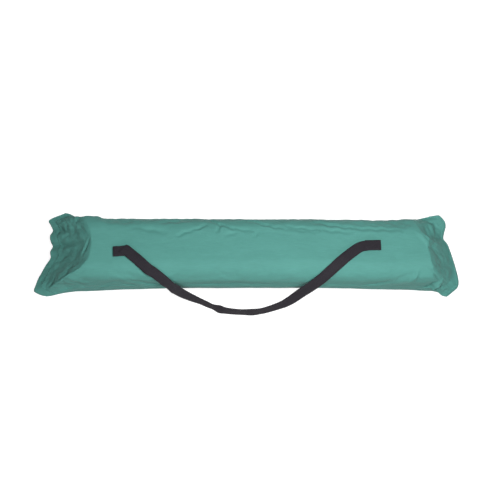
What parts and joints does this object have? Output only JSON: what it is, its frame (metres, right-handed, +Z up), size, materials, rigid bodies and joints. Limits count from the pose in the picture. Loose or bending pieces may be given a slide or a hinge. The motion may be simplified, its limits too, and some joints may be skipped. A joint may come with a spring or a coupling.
{
  "type": "folding cot",
  "caption": "Folding camp cot packed in its fabric carry bag, with a webbing carry handle, a hinged steel frame and a rolled bed cloth.",
  "frame": {"origin": "on the floor, at the middle of the bag's flat underside", "axes": "+X along the bag towards its sewn end, -X towards its mouth, -Y the side with the carry handle, +Z up"},
  "size_m": [1.1864, 0.287, 0.1359],
  "materials": {
    "bag_fabric": "coated woven nylon, soft sheen",
    "binding_tape": "woven tape",
    "webbing": "ribbed woven webbing",
    "stitching": "thread",
    "hook_and_loop": "hook and loop tape",
    "frame_paint": "satin powder coat",
    "zinc_steel": "zinc plated",
    "moulded_nylon": "fine matt texture",
    "rubber": "matt",
    "bed_fabric": "plain woven polyester"
  },
  "bodies": {
    "bag": {"bag_shell": "bag_fabric", "mouth_hook_tape": "hook_and_loop", "mouth_loop_tape": "hook_and_loop", "sewn_end_binding": "binding_tape", "back_seam": "binding_tape", "handle_end_left": "webbing", "handle_end_right": "webbing", "handle_stitching": "stitching", "handle_patches": "binding_tape"},
    "handle": {"carry_handle": "webbing"},
    "bed_roll": {"bed_cloth": "bed_fabric", "cloth_ties": "webbing", "end_bars": "frame_paint", "end_bar_caps": "moulded_nylon"},
    "foot_rail_left": {"foot_rail_left": "frame_paint", "foot_rail_plug_left": "moulded_nylon", "hinge_fork_left": "zinc_steel", "hinge_pin_left": "zinc_steel", "centre_leg_bracket_left": "zinc_steel", "centre_leg_pin_left": "zinc_steel", "foot_clevis_pin_left": "zinc_steel"},
    "head_rail_left": {"head_rail_left": "frame_paint", "head_rail_plug_left": "moulded_nylon", "hinge_tongue_left": "zinc_steel", "head_clevis_pin_left": "zinc_steel"},
    "centre_leg_left": {"centre_leg_left": "frame_paint", "centre_foot_cap_left": "rubber"},
    "foot_clevis_left": {"foot_clevis_left": "zinc_steel", "foot_clevis_bolt_left": "zinc_steel"},
    "head_clevis_left": {"head_clevis_left": "zinc_steel", "head_clevis_bolt_left": "zinc_steel"},
    "foot_rail_right": {"foot_rail_right": "frame_paint", "foot_rail_plug_right": "moulded_nylon", "hinge_fork_right": "zinc_steel", "hinge_pin_right": "zinc_steel", "centre_leg_bracket_right": "zinc_steel", "centre_leg_pin_right": "zinc_steel", "foot_clevis_pin_right": "zinc_steel"},
    "head_rail_right": {"head_rail_right": "frame_paint", "head_rail_plug_right": "moulded_nylon", "hinge_tongue_right": "zinc_steel", "head_clevis_pin_right": "zinc_steel"},
    "centre_leg_right": {"centre_leg_right": "frame_paint", "centre_foot_cap_right": "rubber"},
    "foot_clevis_right": {"foot_clevis_right": "zinc_steel", "foot_clevis_bolt_right": "zinc_steel"},
    "head_clevis_right": {"head_clevis_right": "zinc_steel", "head_clevis_bolt_right": "zinc_steel"},
    "foot_leg_a": {"foot_leg_a": "frame_paint", "foot_foot_cap_a": "rubber", "foot_cross_bolt": "zinc_steel", "foot_cross_washer": "moulded_nylon"},
    "foot_leg_b": {"foot_leg_b": "frame_paint", "foot_foot_cap_b": "rubber"},
    "head_leg_a": {"head_leg_a": "frame_paint", "head_foot_cap_a": "rubber", "head_cross_bolt": "zinc_steel", "head_cross_washer": "moulded_nylon"},
    "head_leg_b": {"head_leg_b": "frame_paint", "head_foot_cap_b": "rubber"}
  },
  "joints": [
    {"name": "handle_lift", "type": "hinge", "parent": "bag", "child": "handle", "pos_m": [-0.322, -0.022, 0.1315], "axis": [-0.9997, -0.0262, 0], "range_deg": [0, 130], "deforming": ["carry_handle"]},
    {"name": "slide_out", "type": "slide", "parent": "bag", "child": "bed_roll", "axis": [-1, 0, 0], "range_m": [0, 1.25], "deforming": ["bag_shell", "mouth_hook_tape", "mouth_loop_tape", "sewn_end_binding", "back_seam", "handle_end_left", "handle_end_right", "handle_stitching", "handle_patches"]},
    {"name": "carry_out", "type": "slide", "parent": "bed_roll", "child": "foot_rail_left", "axis": [-0.9578, 0, 0.2875], "range_m": [0, 1.20069]},
    {"name": "mid_fold", "type": "hinge", "parent": "foot_rail_left", "child": "head_rail_left", "pos_m": [-0.45, -0.01375, 0.0639], "axis": [0, -1, 0], "range_deg": [0, 180]},
    {"name": "foot_swivel_left", "type": "hinge", "parent": "foot_rail_left", "child": "foot_clevis_left", "pos_m": [0.25, -0.01375, 0.043], "axis": [0, -1, 0], "range_deg": [0, 90]},
    {"name": "foot_spread_left", "type": "hinge", "parent": "foot_clevis_left", "child": "foot_leg_a", "pos_m": [0.25, 0.01425, 0.043], "axis": [0, 0, -1], "range_deg": [0, 54.26]},
    {"name": "foot_cross", "type": "hinge", "parent": "foot_leg_a", "child": "foot_leg_b", "pos_m": [-0.08462, 0.03025, 0.043], "axis": [0, 0, 1], "range_deg": [0, 108.53]},
    {"name": "foot_spread_right", "type": "hinge", "parent": "foot_leg_b", "child": "foot_clevis_right", "pos_m": [0.25, 0.04625, 0.0235], "axis": [0, 0, -1], "range_deg": [0, 54.26]},
    {"name": "foot_swivel_right", "type": "hinge", "parent": "foot_clevis_right", "child": "foot_rail_right", "pos_m": [0.25, 0.07425, 0.043], "axis": [0, 1, 0], "range_deg": [0, 90]},
    {"name": "mid_fold_right", "type": "hinge", "parent": "foot_rail_right", "child": "head_rail_right", "pos_m": [-0.45, 0.07425, 0.0639], "axis": [0, -1, 0], "range_deg": [0, 180]},
    {"name": "head_swivel_left", "type": "hinge", "parent": "head_rail_left", "child": "head_clevis_left", "pos_m": [0.25, -0.01375, 0.0848], "axis": [0, 1, 0], "range_deg": [0, 90]},
    {"name": "head_spread_left", "type": "hinge", "parent": "head_clevis_left", "child": "head_leg_a", "pos_m": [0.25, 0.01425, 0.0848], "axis": [0, 0, -1], "range_deg": [0, 54.26]},
    {"name": "head_cross", "type": "hinge", "parent": "head_leg_a", "child": "head_leg_b", "pos_m": [-0.08462, 0.03025, 0.0848], "axis": [0, 0, 1], "range_deg": [0, 108.53]},
    {"name": "head_swivel_right", "type": "hinge", "parent": "head_rail_right", "child": "head_clevis_right", "pos_m": [0.25, 0.07425, 0.0848], "axis": [0, 1, 0], "range_deg": [0, 90]},
    {"name": "centre_leg_swing_left", "type": "hinge", "parent": "foot_rail_left", "child": "centre_leg_left", "pos_m": [-0.39, -0.01375, 0.02], "axis": [0, 1, 0], "range_deg": [0, 90]},
    {"name": "centre_leg_swing_right", "type": "hinge", "parent": "foot_rail_right", "child": "centre_leg_right", "pos_m": [-0.39, 0.07425, 0.02], "axis": [0, 1, 0], "range_deg": [0, 90]}
  ],
  "couplings": [
    {"joint": "carry_out", "follows": "mid_fold", "m_per_rad": 0.38219},
    {"joint": "foot_swivel_left", "follows": "mid_fold", "ratio": 0.5},
    {"joint": "foot_spread_left", "follows": "mid_fold", "ratio": 0.30146},
    {"joint": "foot_cross", "follows": "mid_fold", "ratio": 0.60292},
    {"joint": "foot_spread_right", "follows": "mid_fold", "ratio": 0.30146},
    {"joint": "foot_swivel_right", "follows": "mid_fold", "ratio": 0.5},
    {"joint": "mid_fold_right", "follows": "mid_fold", "ratio": 1},
    {"joint": "head_swivel_left", "follows": "mid_fold", "ratio": 0.5},
    {"joint": "head_spread_left", "follows": "mid_fold", "ratio": 0.30146},
    {"joint": "head_cross", "follows": "mid_fold", "ratio": 0.60292},
    {"joint": "head_swivel_right", "follows": "mid_fold", "ratio": 0.5},
    {"joint": "centre_leg_swing_left", "follows": "mid_fold", "ratio": 0.5},
    {"joint": "centre_leg_swing_right", "follows": "mid_fold", "ratio": 0.5}
  ]
}
